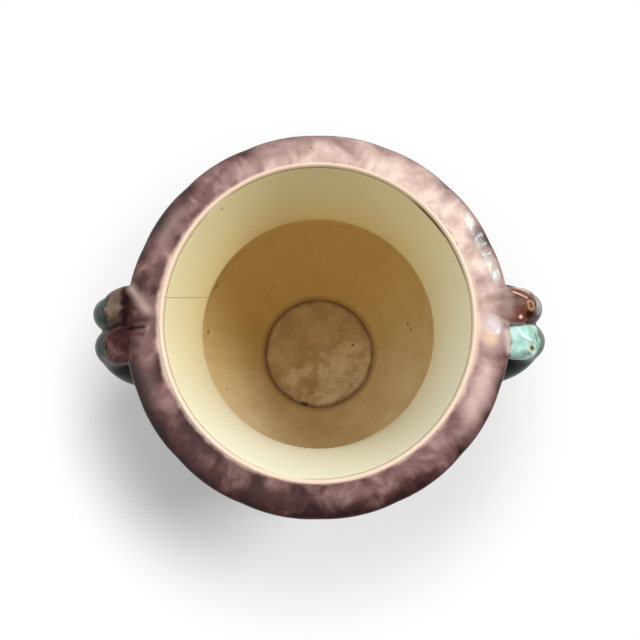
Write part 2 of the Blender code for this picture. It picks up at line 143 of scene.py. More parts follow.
# Beads, and the thin tendrils that run out along a stem and curl round them. They lie on the clay below.
BEADS = metres({"right_back": (124, 5.8), "right_front": (123.5, -19.6), "left_back": (122.2, 5),
                "left_front": (121.2, -15.2)})
TENDRILS = metres({
    "right_back": ((110.8, 13), (114, 12.2), (117.6, 11.3), (121, 10.4), (123.8, 9.7), (126.2, 8),
        (126.8, 5.6), (125.6, 3.4), (123.4, 3), (121.8, 4.2)),
    "right_front": ((114.2, -8.6), (116, -11.4), (119, -14), (122, -15.5), (124.6, -16.4), (126.4, -18.4),
        (126.2, -21), (124.2, -22.6), (121.8, -22.2), (120.6, -20.2)),
    "left_back": ((109.5, 14), (113.5, 13.2), (117, 11.6), (120.2, 9.8), (123, 8.4), (124.8, 6.2),
        (124.6, 3.6), (122.8, 2.2), (120.6, 3), (120, 4.8)),
    "left_front": ((115, -8), (118.2, -8.8), (121, -10.4), (123.2, -12.6), (123.8, -15.4), (122.8, -17.8),
        (120.6, -18.4), (119, -17), (119, -15)),
})
TENDRIL_RADIUS = 0.001
TENDRIL_SUNK = 0.0004
BEAD_RADIUS = 0.0019
BEAD_SUNK = 0.001
# Stems and roots are melted together coarsely, then the fine relief with them
STEM_VOXEL = 0.0007
STEM_SMOOTHING = 26
RELIEF_VOXEL = 0.00055
RELIEF_SMOOTHING = 3


def paint(red, green, blue):
    # A screen colour, 0 to 255, turned into the light that it reflects
    shown = (red, green, blue)
    return tuple(((c / 255 + 0.055) / 1.055) ** 2.4 if c > 10 else c / 3295 for c in shown) + (1.0,)


def deselect():
    if bpy.context.mode != 'OBJECT':
        bpy.ops.object.mode_set(mode='OBJECT')
    bpy.ops.object.select_all(action='DESELECT')


def only(piece):
    deselect()
    piece.select_set(True)
    bpy.context.view_layer.objects.active = piece
    return piece


def from_axis(place):
    return hypot(place.x, place.y)


def pick(piece, wanted):
    # In edit mode: selects the points that pass the test
    shape = bmesh.from_edit_mesh(piece.data)
    shape.select_mode = {'VERT'}
    bpy.context.tool_settings.mesh_select_mode = (True, False, False)
    for part in (*shape.faces, *shape.edges):
        part.select = False
    found = 0
    for point in shape.verts:
        point.select = bool(wanted(point.co))
        found += point.select
    shape.select_flush_mode()
    bmesh.update_edit_mesh(piece.data)
    return found


def widen(across, along):
    # Widens what is selected about the axis
    bpy.ops.transform.resize(value=(across, along, 1), center_override=(0, 0, 0))


def settle(turned_or_sized=False):
    # Puts the active piece's place into its mesh
    bpy.ops.object.transform_apply(location=True, rotation=turned_or_sized, scale=turned_or_sized)


def face_outwards():
    bpy.ops.mesh.select_all(action='SELECT')
    bpy.ops.mesh.normals_make_consistent(inside=False)


def use_modifier(piece, kind, **settings):
    bpy.context.view_layer.objects.active = piece
    modifier = piece.modifiers.new(kind.lower(), kind)
    for key, value in settings.items():
        setattr(modifier, key, value)
    bpy.ops.object.modifier_apply(modifier=modifier.name)


# Turned shapes: a circle pulled up and widened ring by ring, as on the wheel
def turned(name, profile):
    deselect()
    radius, height = profile[0]
    bpy.ops.mesh.primitive_circle_add(vertices=TURN_STEPS, radius=radius, location=(0, 0, height))
    piece = bpy.context.object
    piece.name = name
    settle()
    bpy.ops.object.mode_set(mode='EDIT')
    for (r0, z0), (r1, z1) in zip(profile, profile[1:]):
        bpy.ops.mesh.extrude_edges_move(TRANSFORM_OT_translate={"value": (0, 0, z1 - z0)})
        widen(r1 / r0, r1 / r0)
    bpy.ops.mesh.select_all(action='DESELECT')
    bpy.ops.mesh.select_non_manifold()
    bpy.ops.mesh.bridge_edge_loops()
    face_outwards()
    return piece


def press_flutes(piece, depth_at):
    # Draws the wall in along each valley, ring by ring
    points = bmesh.from_edit_mesh(piece.data).verts
    steps = TURN_STEPS // FLUTES
    for ring_radius, ring_z in sorted(set((round(from_axis(v.co), 5), round(v.co.z, 5)) for v in points)):
        depth = depth_at(ring_radius, ring_z)
        if depth <= 0:
            continue
        for offset, share in enumerate(FLUTE_SHARES):

            def in_valley(co):
                if abs(co.z - ring_z) > SAME_RING or abs(from_axis(co) - ring_radius) > SAME_RING:
                    return False
                step = round(atan2(co.y, co.x) / (2 * pi) * TURN_STEPS) % steps
                return min(step, steps - step) == offset

            if pick(piece, in_valley):
                size = 1 - depth * share / ring_radius
                widen(size, size)


def press_oval(piece):
    # Above the body's rim the rings grow oval, longer front to back
    for height in sorted(set(round(v.co.z, 5) for v in bmesh.from_edit_mesh(piece.data).verts)):
        oval = MOUTH_OVAL * (height - RIM_Z) / (HEIGHT - RIM_Z)
        if oval > 0:
            pick(piece, lambda co: abs(co.z - height) < SAME_RING)
            widen(1 - oval, 1 + oval)


def arc(centre_r, centre_z, radius_r, radius_z, start, end, count):
    angles = [radians(start + (end - start) * i / count) for i in range(count + 1)]
    return [(centre_r + radius_r * cos(a), centre_z + radius_z * sin(a)) for a in angles]


def body_radius(z):
    if z < BELLY_Z:
        fall = (BELLY_Z - z) / (BELLY_Z - BODY_BASE_Z)
        return BELLY_RADIUS - (BELLY_RADIUS - HEEL_RADIUS) * fall ** 2
    rise = min((z - BELLY_Z) / (RIM_Z - BELLY_Z), 1.0)
    return NECK_RADIUS + (BELLY_RADIUS - NECK_RADIUS) * 0.5 * (1 + cos(pi * rise))


def neck_radius(z):
    rise = max(z - RIM_Z, 0.0) / (LEDGE_Z - RIM_Z)
    return NECK_RADIUS + (LEDGE_RADIUS - NECK_RADIUS) * rise ** 2


def funnel_radius(z):
    rise = max(z - WAIST_Z, 0.0) / (HEIGHT - WAIST_Z)
    return WAIST_RADIUS + (MOUTH_RADIUS - WAIST_RADIUS) * rise ** 1.6


# Clay pieces
def make_lip():
    top = arc(0.0989, LIP_EDGE_Z, 0.0123, 0.0042, 90, 4, 9)
    under = arc(0.1027, LIP_EDGE_Z, 0.0085, 0.0087, -8, -90, 7)
    lip = turned("rolled_lip", [*LIP_INSIDE, *top, *under, (0.0975, 0.2668)])
    press_flutes(lip, lambda r, z: LIP_FLUTE * min((r - 0.0975) / 0.0137, 1.0) if r > 0.098 else 0.0)
    press_oval(lip)
    # The roll itself is rounder than the mouth inside it
    for reach, share in ((0.0975, 0.5), (0.104, 0.4)):
        pick(lip, lambda co: from_axis(co) > reach)
        widen(1 + MOUTH_OVAL * share, 1 - MOUTH_OVAL * share * 0.25)
    for step, depth in PINCHES:
        turn = 2 * pi * step / TURN_STEPS
        for inner, share in ((0.1002, 0.35), (0.1042, 0.65)):
            pick(lip, lambda co: co.z > 0.27 and from_axis(co) > inner
                 and cos(atan2(co.y, co.x) - turn) > 0.99985)
            bpy.ops.transform.translate(value=(0, 0, -depth * share / 1000))
    # Thumbed down a little where the handles are luted on
    for side in (1, -1):
        pick(lip, lambda co: co.z > 0.2775 and hypot(co.x - side * 0.1045, co.y + 0.003) < 0.0065)
        bpy.ops.transform.translate(value=(0, 0, -0.0011), use_proportional_edit=True,
                                    proportional_size=0.011, proportional_edit_falloff='SMOOTH')
    return lip


def make_collar():
    edge = MOUTH_EDGE / 2
    profile = [(neck_radius(z) - 0.0002, z) for z in COLLAR_SEAM_HEIGHTS]
    profile += [(neck_radius(z), z) for z in COLLAR_HEIGHTS]
    profile += [(0.096, 0.2667), (0.0921, 0.2667)]
    profile += arc(MOUTH_RADIUS + edge, HEIGHT - edge, edge, edge, 0, 180, 6)
    profile += [(funnel_radius(z), z) for z in FUNNEL_HEIGHTS]
    profile += [(WAIST_RADIUS + 0.0003, 0.2132), (WAIST_RADIUS + 0.0014, 0.2121)]
    profile += [(0.084, 0.212), (0.0851, 0.213), (0.0852, 0.221)]
    collar = turned("cream_collar", profile)
    press_oval(collar)
    return collar


def make_body():
    profile = [(body_radius(z), z) for z in BODY_HEIGHTS]
    # A thin skirt over the foot of the collar, so that no seam shows
    profile += [(neck_radius(z) + 0.00004, z) for z in SKIRT_HEIGHTS]
    profile += [(NECK_RADIUS + 0.00006, 0.2248), (NECK_RADIUS - 0.0001, 0.2246),
                (NECK_RADIUS - 0.0001, 0.2222), (0.086, 0.222), (0.0856, 0.212)]
    profile += [(body_radius(z) - WALL, z) for z in BELLY_HEIGHTS]
    profile += [(FLOOR_RADIUS + 0.0012, 0.015), (FLOOR_RADIUS, 0.0128), (FLOOR_RADIUS + 0.0008, 0.0123)]
    body = turned("body_shell", profile)

    def depth_at(radius, z):
        if radius < body_radius(z) - 0.001 or z > 0.218:
            return 0.0
        swell = sin(pi * (z - BODY_BASE_Z) / (RIM_Z - BODY_BASE_Z))
        return BODY_FLUTE * max(swell, 0.0) ** 0.8

    press_flutes(body, depth_at)
    return body


def make_floor_disc():
    deselect()
    bpy.ops.mesh.primitive_circle_add(
        vertices=TURN_STEPS, radius=0.0637, fill_type='NGON', location=(0, 0, FLOOR_UNDERSIDE))
    disc = bpy.context.object
    disc.name = "floor_disc_glazed"
    settle()
    bpy.ops.object.mode_set(mode='EDIT')
    bpy.ops.mesh.extrude_region_move(TRANSFORM_OT_translate={"value": (0, 0, FLOOR_Z - FLOOR_UNDERSIDE)})
    pick(disc, lambda co: co.z > FLOOR_Z - 0.0005)
    for width, rise in FLOOR_RINGS:
        bpy.ops.mesh.inset(thickness=width)
        bpy.ops.transform.translate(value=(0, 0, rise))
    pick(disc, lambda co: co.z < FLOOR_UNDERSIDE + 0.0005)
    for width in (0.0006, 0.006, 0.02, 0.02):
        bpy.ops.mesh.inset(thickness=width)
    face_outwards()
    return disc


def pulled(name, points, radii, roundness):
    # A strand of clay, drawn out point by point and thick as given at each
    deselect()
    bpy.ops.curve.primitive_bezier_curve_add(location=(0, 0, 0))
    strand = bpy.context.object
    strand.name = name
    bpy.ops.object.mode_set(mode='EDIT')
    bpy.ops.curve.select_all(action='DESELECT')
    first = strand.data.splines[0].bezier_points[0]
    first.select_control_point = first.select_left_handle = first.select_right_handle = True
    bpy.ops.curve.delete(type='VERT')
    bpy.ops.curve.select_all(action='SELECT')
    start = strand.data.splines[0].bezier_points[0].co.copy()
    bpy.ops.transform.translate(value=Vector(points[0]) - start)
    bpy.ops.curve.radius_set(radius=radii[0])
    for here, after, radius in zip(points, points[1:], radii[1:]):
        bpy.ops.curve.extrude_move(TRANSFORM_OT_translate={"value": Vector(after) - Vector(here)})
        bpy.ops.curve.radius_set(radius=radius)
    bpy.ops.curve.select_all(action='SELECT')
    bpy.ops.curve.handle_type_set(type='AUTOMATIC')
    only(strand)
    strand.data.dimensions = '3D'
    strand.data.bevel_depth = 1.0
    strand.data.bevel_resolution = roundness
    strand.data.resolution_u = 8
    strand.data.use_fill_caps = True
    bpy.ops.object.convert(target='MESH')
    return bpy.context.object


def root_pad(side, bank):
    # An oval pad of clay lying along the shoulder's slope
    deselect()
    bpy.ops.mesh.primitive_uv_sphere_add(segments=32, ring_count=20, radius=1.0)
    pad = bpy.context.object
    x, y, z = ROOT_PLACE
    pad.scale = ROOT_SIZE
    pad.rotation_euler = (0.0, atan2(ROOT_SLOPE, 1.0), atan2(bank * y, side * x))
    pad.location = (side * x, bank * y - HANDLE_FORWARD, z)
    settle(True)
    return pad


def bead(x, y, z):
    deselect()
    bpy.ops.mesh.primitive_uv_sphere_add(segments=24, ring_count=16, radius=BEAD_RADIUS, location=(x, y, z))
    settle()
    return bpy.context.object


def crest_of(piece, x, y):
    # The height of the clay at a place, seen from above
    found, place, _, _ = piece.ray_cast(Vector((x, y, 0.295)), Vector((0, 0, -1)))
    return place.z if found else 0.27


def sunk_copy(piece, depth):
    # A copy of a finished piece, with its surface sunk by this depth
    only(piece)
    bpy.ops.object.duplicate()
    copy = bpy.context.object
    bpy.ops.object.mode_set(mode='EDIT')
    bpy.ops.mesh.select_all(action='SELECT')
    bpy.ops.transform.shrink_fatten(value=-depth)
    deselect()
    return copy


def slice_beside(piece, side, half_width, heights=()):
    # What is left of a piece beside a handle, and between two heights, for the handle's clay to flow into
    only(piece)
    bpy.ops.object.mode_set(mode='EDIT')
    cuts = [((side * 0.055, 0, 0), (-side, 0, 0)), ((0, half_width - HANDLE_FORWARD, 0), (0, 1, 0)),
            ((0, -half_width - HANDLE_FORWARD, 0), (0, -1, 0))]
    cuts += [((0, 0, height), (0, 0, outwards)) for height, outwards in zip(heights, (-1, 1))]
    for place, outwards in cuts:
        bpy.ops.mesh.select_all(action='SELECT')
        bpy.ops.mesh.bisect(plane_co=place, plane_no=outwards, clear_outer=True, use_fill=True)
    deselect()
    return piece


def joined(pieces, name):
    deselect()
    for piece in pieces:
        piece.select_set(True)
    bpy.context.view_layer.objects.active = pieces[0]
    bpy.ops.object.join()
    pieces[0].name = name
    return pieces[0]


def melted(pieces, name, voxel, smoothing):
    # Crossing pieces of clay become one smooth skin
    piece = only(joined(pieces, name))
    use_modifier(piece, 'REMESH', mode='VOXEL', voxel_size=voxel)
    use_modifier(piece, 'SMOOTH', factor=0.5, iterations=smoothing)
    return piece


def keep_largest(piece):
    # Of the bodies of clay that aren't joined, only the largest stays
    shape = bmesh.new()
    shape.from_mesh(piece.data)
    left = set(shape.verts)
    islands = []
    while left:
        stack = [left.pop()]
        island = []
        while stack:
            point = stack.pop()
            island.append(point)
            for edge in point.link_edges:
                other = edge.other_vert(point)
                if other in left:
                    left.remove(other)
                    stack.append(other)
        islands.append(island)
    islands.sort(key=len)
    for island in islands[:-1]:
        bmesh.ops.delete(shape, geom=island, context='VERTS')
    shape.to_mesh(piece.data)
    shape.free()


def store_hollow(piece, reach):
    # How far each point lies below its surroundings in mm: the glaze pools there, and runs thin on ridges
    mesh = piece.data
    count = len(mesh.vertices)

    def read(rows, key, width, kind=float):
        values = np.zeros(len(rows) * width, kind)
        rows.foreach_get(key, values)
        return values.reshape(-1, width).T

    place = read(mesh.vertices, "co", 3)
    normal = read(mesh.vertex_normals, "vector", 3)
    a, b = read(mesh.edges, "vertices", 2, int)
    degree = np.maximum(np.bincount(a, minlength=count) + np.bincount(b, minlength=count), 1)

    def eased(values, times):
        for _ in range(times):
            around = (np.bincount(a, values[b], count) + np.bincount(b, values[a], count)) / degree
            values = 0.5 * values + 0.5 * around
        return values

    hollow = sum((eased(along, reach) - along) * out for along, out in zip(place, normal)) * 1000
    attribute = mesh.attributes.new("hollow", 'FLOAT', 'POINT')
    attribute.data.foreach_set("value", eased(hollow, 4).astype(np.float32))


def make_handle(side_name, side, lip, body):
    name = side_name + "_handle"
    parts = []
    for bank_name, bank in (("_back", 1), ("_front", -1)):
        stem, *webs = [[(side * x, y, crest - thick, thick) for x, y, crest, thick in strand]
                       for strand in CRESTS[side_name + bank_name]]
        for step, (x, y, z, thick) in enumerate(ARCH):
            inset = ARCH_INSET[side_name + bank_name] * max(1 - step / INSET_ROWS, 0.0)
            stem.append((side * (x - inset), bank * y - HANDLE_FORWARD, z, thick))
        for strand in (stem, *webs):
            parts.append(pulled("strand", [row[:3] for row in strand], [row[3] for row in strand],
                                8 if strand is stem else 6))
        parts.append(root_pad(side, bank))
    parts.append(slice_beside(sunk_copy(lip, 0.0008), side, 0.034))
    parts.append(slice_beside(sunk_copy(body, 0.0008), side, 0.056, (0.14, 0.205)))
    handle = melted(parts, name, STEM_VOXEL, STEM_SMOOTHING)
    reliefs = [handle]
    for bank_name in ("_back", "_front"):
        points = [(side * x, y, crest_of(handle, side * x, y) - TENDRIL_SUNK)
                  for x, y in TENDRILS[side_name + bank_name]]
        radii = [TENDRIL_RADIUS * (0.6 + 0.4 * min(i / 3, 1.0)) for i in range(len(points))]
        radii[-1] *= 0.6
        reliefs.append(pulled("tendril", points, radii, 3))
        x, y = BEADS[side_name + bank_name]
        reliefs.append(bead(side * x, y, crest_of(handle, side * x, y) - BEAD_SUNK))
    handle = melted(reliefs, name, RELIEF_VOXEL, RELIEF_SMOOTHING)
    # The lip and the body stand a hair clear of it
    core = joined([sunk_copy(lip, 0.0004), sunk_copy(body, 0.0004)], "core")
    only(handle)
    use_modifier(handle, 'BOOLEAN', operation='DIFFERENCE', solver='MANIFOLD', object=core)
    only(core)
    bpy.ops.object.delete()
    keep_largest(handle)
    store_hollow(handle, 30)
    return handle


# Shader trees
def feed(socket, value):
    # Joins a socket to what another gives, or sets it
    if isinstance(value, Signal):
        value.tree.links.new(value.socket, socket)
    else:
        socket.default_value = value


class Signal:
    # What one socket gives: a number, a place or a colour that changes over the clay.
    # Each call adds the node that works on it.
    def __init__(self, socket):
        self.socket = socket
        self.tree = socket.id_data

    def add(self, kind, values=(), output=0, **settings):
        node = self.tree.nodes.new("ShaderNode" + kind)
        for key, value in settings.items():
            setattr(node, key, value)
        for key, value in values:
            feed(node.inputs[key], value)
        return Signal(node.outputs[output])

    def beside(self, output):
        # Another output of the same node
        return Signal(self.socket.node.outputs[output])

    def maths(self, operation, *values, clamp=False):
        return self.add("Math", enumerate((self, *values)), operation=operation, use_clamp=clamp)

    def __add__(self, other):
        return self.maths('ADD', other)

    def __sub__(self, other):
        return self.maths('SUBTRACT', other)

    def __mul__(self, other):
        return self.maths('MULTIPLY', other)

    def __truediv__(self, other):
        return self.maths('DIVIDE', other)

    def __abs__(self):
        return self.maths('ABSOLUTE')

    def scaled(self, factor, start):
        return self.maths('MULTIPLY_ADD', factor, start)

    def swayed(self, noise, amount):
        # Made more and less by a noise, which is about 0.5
        return (noise - 0.5).scaled(amount, self)

    def between(self, low, high, start=0, end=1):
        # Eases from start to end while this number goes from low to high
        return self.add("MapRange", enumerate((self, low, high, start, end)),
                        interpolation_type='SMOOTHSTEP')

    def line(self, level, wide, thin):
        # 1 where this number is at the level, fading to 0 on both sides
        return abs(self - level).between(wide, thin)

    def ramp(self, stops):
        ramp = self.add("ValToRGB", ((0, self),))
        steps = ramp.socket.node.color_ramp.elements
        while len(steps) < len(stops):
            steps.new(1)
        for step, (place, colour) in zip(steps, stops):
            step.position = place
            step.color = colour
        return ramp

    def mix(self, first, second):
        # The first colour where this mask is 0, the second where it is 1
        return self.add("Mix", ((0, self), (6, first), (7, second)), 2, data_type='RGBA')

    def coat(self, share, tint):
        # Lays a share of a tint over this colour
        self.socket = share.mix(self, paint(*tint)).socket
        return self

    def vectors(self, operation, *values):
        output = "Value" if operation in ('DISTANCE', 'LENGTH', 'DOT_PRODUCT') else "Vector"
        return self.add("VectorMath", enumerate((self, *values)), output, operation=operation)

    def parts(self, kind="SeparateXYZ"):
        first = self.add(kind, ((0, self),))
        return first, first.beside(1), first.beside(2)

    def noise(self, scale, detail=2, roughness=0.5, distortion=0):
        return self.add("TexNoise", (("Vector", self), ("Scale", scale), ("Detail", detail),
                                     ("Roughness", roughness), ("Distortion", distortion)))

    def near(self, centre, radius, feather):
        # 1 within the radius of a point, fading to 0 over the feather
        return self.vectors('DISTANCE', centre).between(radius + feather, max(radius - feather, 0))

    def group(self, name, **values):
        # This place run through a group of nodes
        tree = bpy.data.node_groups[name]
        first = self.add("Group", (("Place", self), *values.items()), node_tree=tree)
        return {label: first.beside(label) for label in first.socket.node.outputs.keys()}


def new_group(name, **inputs):
    # A group of nodes that works on a place. Inputs that are None are places, the others numbers.
    tree = bpy.data.node_groups.new(name, 'ShaderNodeTree')
    for label, value in {"Place": None, **inputs}.items():
        kind = 'NodeSocketVector' if value is None else 'NodeSocketFloat'
        socket = tree.interface.new_socket(label, in_out='INPUT', socket_type=kind)
        if value is not None:
            socket.default_value = value
    given = tree.nodes.new("NodeGroupInput").outputs
    return [Signal(given[label]) for label in ("Place", *inputs)]


def give(**signals):
    # What a group of nodes puts out
    tree = next(iter(signals.values())).tree
    for label in signals:
        kind = {"Color": 'Color', "Around": 'Vector'}.get(label, 'Float')
        tree.interface.new_socket(label, in_out='OUTPUT', socket_type='NodeSocket' + kind)
    result = tree.nodes.new("NodeGroupOutput").inputs
    for label, signal in signals.items():
        feed(result[label], signal)


def make_polar_group():
    # A place seen round the vessel: radius, height, distance from a valley (0 to 0.5), turn (0 at the right,
    # then by the back), shares toward the lit back right and toward the front, used for painted light and
    # shade, and the place drawn out for streaks
    place, streak, rise = new_group("round_the_vessel", Streak=12, Rise=8)
    x, y, z = place.parts()
    radius = (x * x + y * y).maths('SQRT').maths('MAXIMUM', 0.001)
    across = x / radius
    along = y / radius
    angle = y.maths('ARCTAN2', x)
    wobble = place.noise(70, 3).scaled(0.7, -0.35).scaled(0.35, -0.06)
    streaky = (across * streak, along * streak, (z - radius) * rise)
    give(Radius=radius, Height=z, Beside=angle.scaled(FLUTES / (2 * pi), wobble).maths('PINGPONG', 0.5),
         Turn=(angle / (2 * pi)).maths('FRACT'), Pale=across.scaled(0.707, along * 0.707),
         Front=across.scaled(0.34, along * -0.94), Around=x.add("CombineXYZ", enumerate(streaky)))


def make_speck_group():
    # Pinholes and specks: round dots at a share of scattered places
    place, scale, size, share = new_group("pinholes", Scale=100, Size=0.1, Share=0.2)
    away = place.add("TexVoronoi", (("Vector", place), ("Scale", scale)), "Distance", feature='F1')
    chance, chance_of_size, _ = away.beside("Color").parts("SeparateColor")
    size = size * (chance_of_size + 0.4)
    give(Mask=away.between(size, size * 0.35) * chance.maths('LESS_THAN', share))


def make_stroke_group():
    # A soft stroke on the tops, seen from above, from one place along a given way
    place, start, along, inner, outer = new_group("stroke", Start=None, Along=None, Inner=0.001, Outer=0.002)
    way = place.vectors('SUBTRACT', start)
    share = way.vectors('DOT_PRODUCT', along).maths('DIVIDE', along.vectors('DOT_PRODUCT', along), clamp=True)
    foot = along.add("VectorMath", ((0, along), ("Scale", share)), operation='SCALE')
    give(Mask=way.vectors('DISTANCE', foot).between(outer, inner))


def make_skin_group():
    # The glaze's own surface: broad waves and pits
    place, waves, pits = new_group("glaze_skin", Waves=1, Pits=0)
    give(Height=place.noise(130, 2, 0.45) * waves - pits)


MAUVES = ((0, (36, 10, 11)), (0.18, (70, 38, 37)), (0.42, (122, 90, 87)),
          (0.66, (169, 140, 134)), (0.86, (205, 178, 167)), (1, (231, 208, 195)))
GREENS = ((0, (14, 19, 16)), (0.24, (34, 46, 38)), (0.46, (64, 84, 70)),
          (0.64, (92, 122, 106)), (0.82, (120, 160, 146)), (1, (164, 202, 186)))
PEACH = (228, 198, 180)
SPECK_BROWN = (40, 24, 20)


def make_mauve_group():
    # Mottled mauve, painted paler toward the lit back right, darker toward the outer edge of the roll as
    # darker glaze and painted shade, and near black in the pinches of the edge
    place, = new_group("mauve_mottle")
    where = place.group("round_the_vessel", Streak=13, Rise=34)
    radius = where["Radius"]
    beside = where["Beside"]
    pale = where["Pale"].maths('MULTIPLY_ADD', 0.5, 0.5, clamp=True).maths('POWER', 1.5)
    # Painted light and shade: paler toward the lit back right, darker toward the roll's outer edge, which is
    # partly darker glaze
    tone = radius.between(0.0985, LIP_RADIUS).scaled(-0.26, pale.scaled(0.68, 0.25))
    tone = tone.swayed(place.noise(78, 3, 0.5, 0.45), pale.scaled(-0.35, 1.15))
    tone = tone.swayed(place.noise(26, 2, 0.5, 0.3), 0.4)
    tone = tone.swayed(where["Around"].noise(1, 2, 0.5, 0.3), 0.3)
    colour = tone.ramp([(at, paint(*mauve)) for at, mauve in MAUVES])
    # A dark wedge at the edge of each pinch, maroon round it, with finer streaks that run from it inwards
    strength = where["Turn"].ramp([
        (valley / FLUTES, (VALLEY_DARK[valley % FLUTES],) * 3 + (1,)) for valley in range(FLUTES + 1)])
    halo = beside.between(0.3, 0.05) * radius.between(0.0975, 0.1095) * strength
    colour.coat(halo * 0.55, (78, 34, 32))
    rim = radius.between(0.101, 0.1105)
    wide = rim.scaled(0.13, 0.03)
    wedge = beside.between(wide, wide * 0.2) * rim
    fine = place.group("round_the_vessel", Streak=48, Rise=60)["Around"]
    smear = fine.noise(1, 2, 0.5, 0.6).between(0.48, 0.68) * beside.between(0.34, 0.06)
    smear = smear * radius.between(0.095, 0.105)
    pinch = wedge.maths('MAXIMUM', smear * 0.45) * strength
    give(Color=colour.coat(pinch, (26, 6, 8)), Pinch=pinch)


def make_green_group():
    # Sage to turquoise glaze that runs down the outside in streaks, brown where it is thin
    place, pool = new_group("running_green", Pool=0)
    where = place.group("round_the_vessel", Streak=7, Rise=6)
    around = where["Around"]
    tone = (around.noise(1, 4, 0.55, 0.8) - 0.5).scaled(1.5, 0.52)
    tone = tone.swayed(place.noise(34, 3, 0.5, 0.5), 0.8)
    tone = where["Beside"].between(0.22, 0).scaled(-0.16, tone) - pool
    colour = tone.ramp([(at, paint(*green)) for at, green in GREENS])
    rusty = around.noise(1.5, 3, 0.55, 1.2).between(0.55, 0.72)
    give(Color=colour.coat(rusty * 0.6, (88, 50, 32)))


def make_outside_group():
    # The whole outside: mauve from the lip down the neck, running into green on the shoulder
    place, pool = new_group("outside_glaze", Pool=0)
    where = place.group("round_the_vessel", Streak=8, Rise=2)
    drips = where["Around"].noise(1, 3, 0.6)
    share = drips.scaled(0.13, where["Height"]).between(0.262, 0.308)
    mauve = place.group("mauve_mottle")
    colour = share.mix(place.group("running_green", Pool=pool)["Color"], mauve["Color"])
    foot = drips.scaled(0.02, where["Height"]).between(0.032, 0.02)
    give(Color=colour.coat(foot * 0.75, (62, 44, 30)), Pinch=mauve["Pinch"] * share)


def new_material(name):
    material = bpy.data.materials.new(name)
    material.use_nodes = True
    return material, Signal(material.node_tree.nodes.new("ShaderNodeTexCoord").outputs["Object"])


def fire(material, colour, height, distance, **inputs):
    # Gives the shader its colour, the relief of its surface and how it shines
    shader = material.node_tree.nodes["Principled BSDF"].inputs
    bump = colour.add("Bump", (("Strength", 1), ("Distance", distance), ("Height", height)))
    for label, value in {"Base_Color": colour, "Normal": bump, **inputs}.items():
        feed(shader[label.replace("_", " ")], value)
    return material


def sheen(place, low, high):
    # Roughness that is a little different from place to place
    return place.noise(60, 3).between(0.3, 0.75, low, high)


def pinholes(place, scale, size, share):
    return place.group("pinholes", Scale=scale, Size=size, Share=share)["Mask"]


def skin(place, waves=1, pits=0):
    return place.group("glaze_skin", Waves=waves, Pits=pits)["Height"]


def stroked(colour, place, strokes):
    # Soft strokes of a second colour on the tops: x, y to x, y, radius and feather in mm, colour, share
    flat = place.vectors('MULTIPLY', (1, 1, 0))
    for *sizes, tint, share in strokes:
        x0, y0, x1, y1, radius, feather = metres(tuple(sizes))
        stroke = flat.group("stroke", Start=(x0, y0, 0), Along=(x1 - x0, y1 - y0 + 0.00001, 0),
                            Inner=radius - feather, Outer=radius + feather)["Mask"]
        colour.coat(stroke * share, tint)


def marked(colour, place, tint, share, *marks):
    # Single pinholes and specks: x, y, z and radius in mm
    for mark in marks:
        *centre, radius = metres(mark)
        colour.coat(place.near(centre, radius, radius * 0.5) * share, tint)


def outside_glaze():
    material, place = new_material("running_outside_glaze")
    specks = pinholes(place, 75, 0.05, 0.12)
    colour = place.group("outside_glaze")["Color"].coat(specks * 0.8, SPECK_BROWN)
    return fire(material, colour, skin(place, pits=specks), 0.0004, Roughness=sheen(place, 0.1, 0.24),
                IOR=1.5)


def lip_glaze():
    material, place = new_material("lip_mauve_glaze")
    where = place.group("round_the_vessel")
    radius = where["Radius"]
    height = where["Height"]
    colour = place.group("outside_glaze")["Color"]
    stroked(colour, place, LEFT_JOINT_LIGHT_AND_SHADE + RIGHT_JOINT + LIP_CLOUDS)
    # Where the mauve thins out towards the mouth it is peach, more of it here and less there
    spread = place.noise(100, 3, 0.55).scaled(0.0044, -0.0022)
    colour.coat((radius + spread).between(0.0937, 0.0906) * 0.8, PEACH)
    # The edge of the roll has a thin dark line, partly darker glaze and partly painted shade, but not at its
    # far sides
    line = height.between(0.2779, 0.2768) * height.between(0.273, 0.2755)
    sides = place.vectors('MULTIPLY', (1, 0, 0)).vectors('LENGTH')
    colour.coat(line * sides.between(0.1085, 0.105) * 0.72, (58, 34, 34))
    # A peach patch by the right handle, and beside it a lavender patch that is a painted highlight
    patchy = place.noise(240, 2).scaled(0.8, 0.35)
    colour.coat(place.near((0.0975, -0.0145, 0.2785), 0.0036, 0.0034) * patchy * 0.9, (226, 188, 148))
    colour.coat(place.near((0.0995, -0.0062, 0.2785), 0.004, 0.004) * patchy * 0.9, (214, 204, 212))
    specks = pinholes(place, 75, 0.05, 0.1)
    colour.coat(specks * 0.8, SPECK_BROWN)
    marked(colour, place, (48, 26, 22), 0.9, (-2.9, 101.8, 279.5, 0.5), (11, 92.5, 279.6, 0.5),
           (20, 91.5, 279.5, 0.4))
    # Brown has crept on to the thin glaze at the back right
    brown = radius.between(0.095, 0.0925) * place.near((0.0765, 0.05, 0.2795), 0.018, 0.007)
    brown = brown * place.noise(330, 3, 0.6).between(0.53, 0.66)
    colour.coat(brown * 0.65, (160, 112, 82))
    # Duller where the left handle is luted on
    dull = place.near((-0.104, -0.004, 0.2785), 0.007, 0.003)
    return fire(material, colour, skin(place, pits=specks), 0.0001, Roughness=sheen(place, 0.11, 0.15),
                IOR=1.5, Specular_IOR_Level=dull.scaled(-0.42, 0.5))


